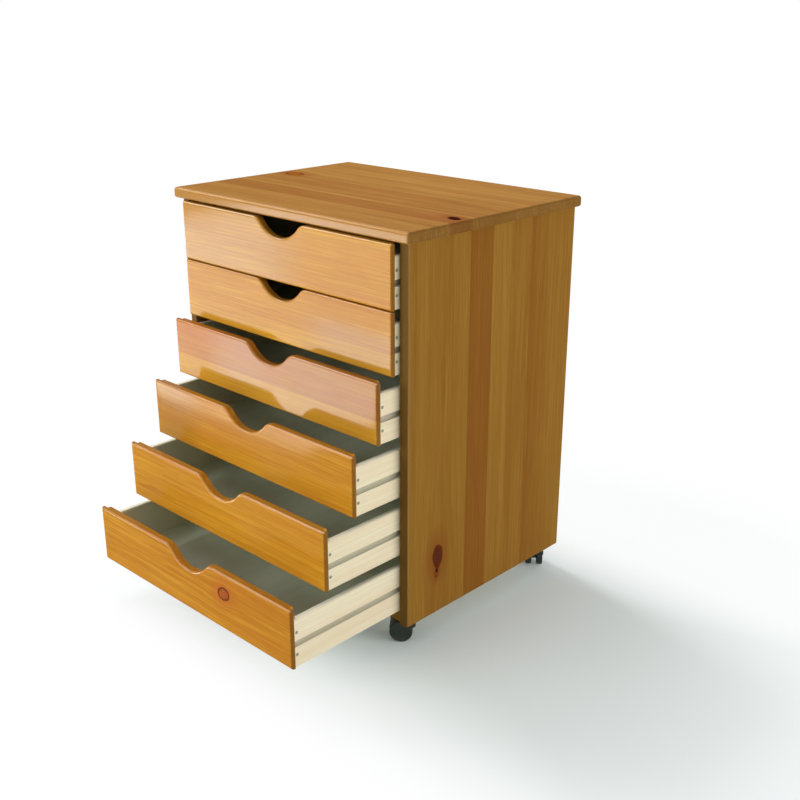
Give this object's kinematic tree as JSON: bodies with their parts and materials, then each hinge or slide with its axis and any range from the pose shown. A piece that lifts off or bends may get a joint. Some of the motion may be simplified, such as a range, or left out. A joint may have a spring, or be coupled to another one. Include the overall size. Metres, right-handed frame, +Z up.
{
  "type": "rolling drawer cart",
  "caption": "Solid pine drawer cart on swivel casters: shallow side-hung drawers with scooped finger grips under an overhanging edge-glued top.",
  "frame": {"origin": "on the floor, at the middle of the cart's width, halfway between the drawer front that stands furthest out and the rear edge of the top", "axes": "+Z up, -Y towards the side that the drawers open to, +X to the right as seen from the front"},
  "size_m": [0.537, 0.6117, 0.665],
  "materials": {
    "top_pine": "varnished pine, satin",
    "side_pine": "varnished pine, satin",
    "front_pine": "varnished pine, gloss",
    "raw_pine": "planed pine, unfinished",
    "plywood": "plain plywood",
    "black_plastic": "moulded nylon, satin",
    "wheel_plastic": "moulded nylon, satin",
    "plated_steel": "zinc plated"
  },
  "bodies": {
    "cabinet": {"top_panel": "top_pine", "left_side_panel": "side_pine", "right_side_panel": "side_pine", "back_panel": "plywood", "bottom_panel": "raw_pine", "front_rail": "side_pine", "left_runners": "raw_pine", "right_runners": "raw_pine", "top_cleats": "raw_pine", "caster_plates": "plated_steel", "caster_kingpins": "plated_steel"},
    "drawer_1": {"drawer_1_front": "front_pine", "drawer_1_left_side": "raw_pine", "drawer_1_right_side": "raw_pine", "drawer_1_back": "raw_pine", "drawer_1_bottom": "plywood"},
    "drawer_2": {"drawer_2_front": "front_pine", "drawer_2_left_side": "raw_pine", "drawer_2_right_side": "raw_pine", "drawer_2_back": "raw_pine", "drawer_2_bottom": "plywood"},
    "drawer_3": {"drawer_3_front": "front_pine", "drawer_3_left_side": "raw_pine", "drawer_3_right_side": "raw_pine", "drawer_3_back": "raw_pine", "drawer_3_bottom": "plywood"},
    "drawer_4": {"drawer_4_front": "front_pine", "drawer_4_left_side": "raw_pine", "drawer_4_right_side": "raw_pine", "drawer_4_back": "raw_pine", "drawer_4_bottom": "plywood"},
    "drawer_5": {"drawer_5_front": "front_pine", "drawer_5_left_side": "raw_pine", "drawer_5_right_side": "raw_pine", "drawer_5_back": "raw_pine", "drawer_5_bottom": "plywood"},
    "drawer_6": {"drawer_6_front": "front_pine", "drawer_6_left_side": "raw_pine", "drawer_6_right_side": "raw_pine", "drawer_6_back": "raw_pine", "drawer_6_bottom": "plywood"},
    "front_right_caster_swivel": {"front_right_caster_hood": "black_plastic"},
    "front_right_caster_wheel_pair": {"front_right_caster_wheels": "wheel_plastic", "front_right_caster_axle": "plated_steel"},
    "front_left_caster_swivel": {"front_left_caster_hood": "black_plastic"},
    "front_left_caster_wheel_pair": {"front_left_caster_wheels": "wheel_plastic", "front_left_caster_axle": "plated_steel"},
    "rear_right_caster_swivel": {"rear_right_caster_hood": "black_plastic"},
    "rear_right_caster_wheel_pair": {"rear_right_caster_wheels": "wheel_plastic", "rear_right_caster_axle": "plated_steel"},
    "rear_left_caster_swivel": {"rear_left_caster_hood": "black_plastic"},
    "rear_left_caster_wheel_pair": {"rear_left_caster_wheels": "wheel_plastic", "rear_left_caster_axle": "plated_steel"}
  },
  "joints": [
    {"name": "drawer_1_slide", "type": "slide", "parent": "cabinet", "child": "drawer_1", "axis": [0, -1, 0], "range_m": [0, 0.27]},
    {"name": "drawer_2_slide", "type": "slide", "parent": "cabinet", "child": "drawer_2", "axis": [0, -1, 0], "range_m": [0, 0.27]},
    {"name": "drawer_3_slide", "type": "slide", "parent": "cabinet", "child": "drawer_3", "axis": [0, -1, 0], "range_m": [-0.0297, 0.2403]},
    {"name": "drawer_4_slide", "type": "slide", "parent": "cabinet", "child": "drawer_4", "axis": [0, -1, 0], "range_m": [-0.0797, 0.1903]},
    {"name": "drawer_5_slide", "type": "slide", "parent": "cabinet", "child": "drawer_5", "axis": [0, -1, 0], "range_m": [-0.1366, 0.1334]},
    {"name": "drawer_6_slide", "type": "slide", "parent": "cabinet", "child": "drawer_6", "axis": [0, -1, 0], "range_m": [-0.2037, 0.0663]},
    {"name": "front_right_caster_swivel", "type": "hinge", "parent": "cabinet", "child": "front_right_caster_swivel", "pos_m": [0.2352, -0.05005, 0.0385], "axis": [0, 0, 1], "continuous": true},
    {"name": "front_right_caster_roll", "type": "hinge", "parent": "front_right_caster_swivel", "child": "front_right_caster_wheel_pair", "pos_m": [0.22141, -0.06162, 0.0185], "axis": [0.6428, -0.766, 0], "continuous": true},
    {"name": "front_left_caster_swivel", "type": "hinge", "parent": "cabinet", "child": "front_left_caster_swivel", "pos_m": [-0.2352, -0.05005, 0.0385], "axis": [0, 0, 1], "continuous": true},
    {"name": "front_left_caster_roll", "type": "hinge", "parent": "front_left_caster_swivel", "child": "front_left_caster_wheel_pair", "pos_m": [-0.23739, -0.03218, 0.0185], "axis": [-0.9925, -0.1219, 0], "continuous": true},
    {"name": "rear_right_caster_swivel", "type": "hinge", "parent": "cabinet", "child": "rear_right_caster_swivel", "pos_m": [0.2352, 0.26675, 0.0385], "axis": [0, 0, 1], "continuous": true},
    {"name": "rear_right_caster_roll", "type": "hinge", "parent": "rear_right_caster_swivel", "child": "rear_right_caster_wheel_pair", "pos_m": [0.22437, 0.28113, 0.0185], "axis": [-0.7986, -0.6018, 0], "continuous": true},
    {"name": "rear_left_caster_swivel", "type": "hinge", "parent": "cabinet", "child": "rear_left_caster_swivel", "pos_m": [-0.2352, 0.26675, 0.0385], "axis": [0, 0, 1], "continuous": true},
    {"name": "rear_left_caster_roll", "type": "hinge", "parent": "rear_left_caster_swivel", "child": "rear_left_caster_wheel_pair", "pos_m": [-0.22675, 0.28264, 0.0185], "axis": [-0.8829, 0.4695, 0], "continuous": true}
  ]
}
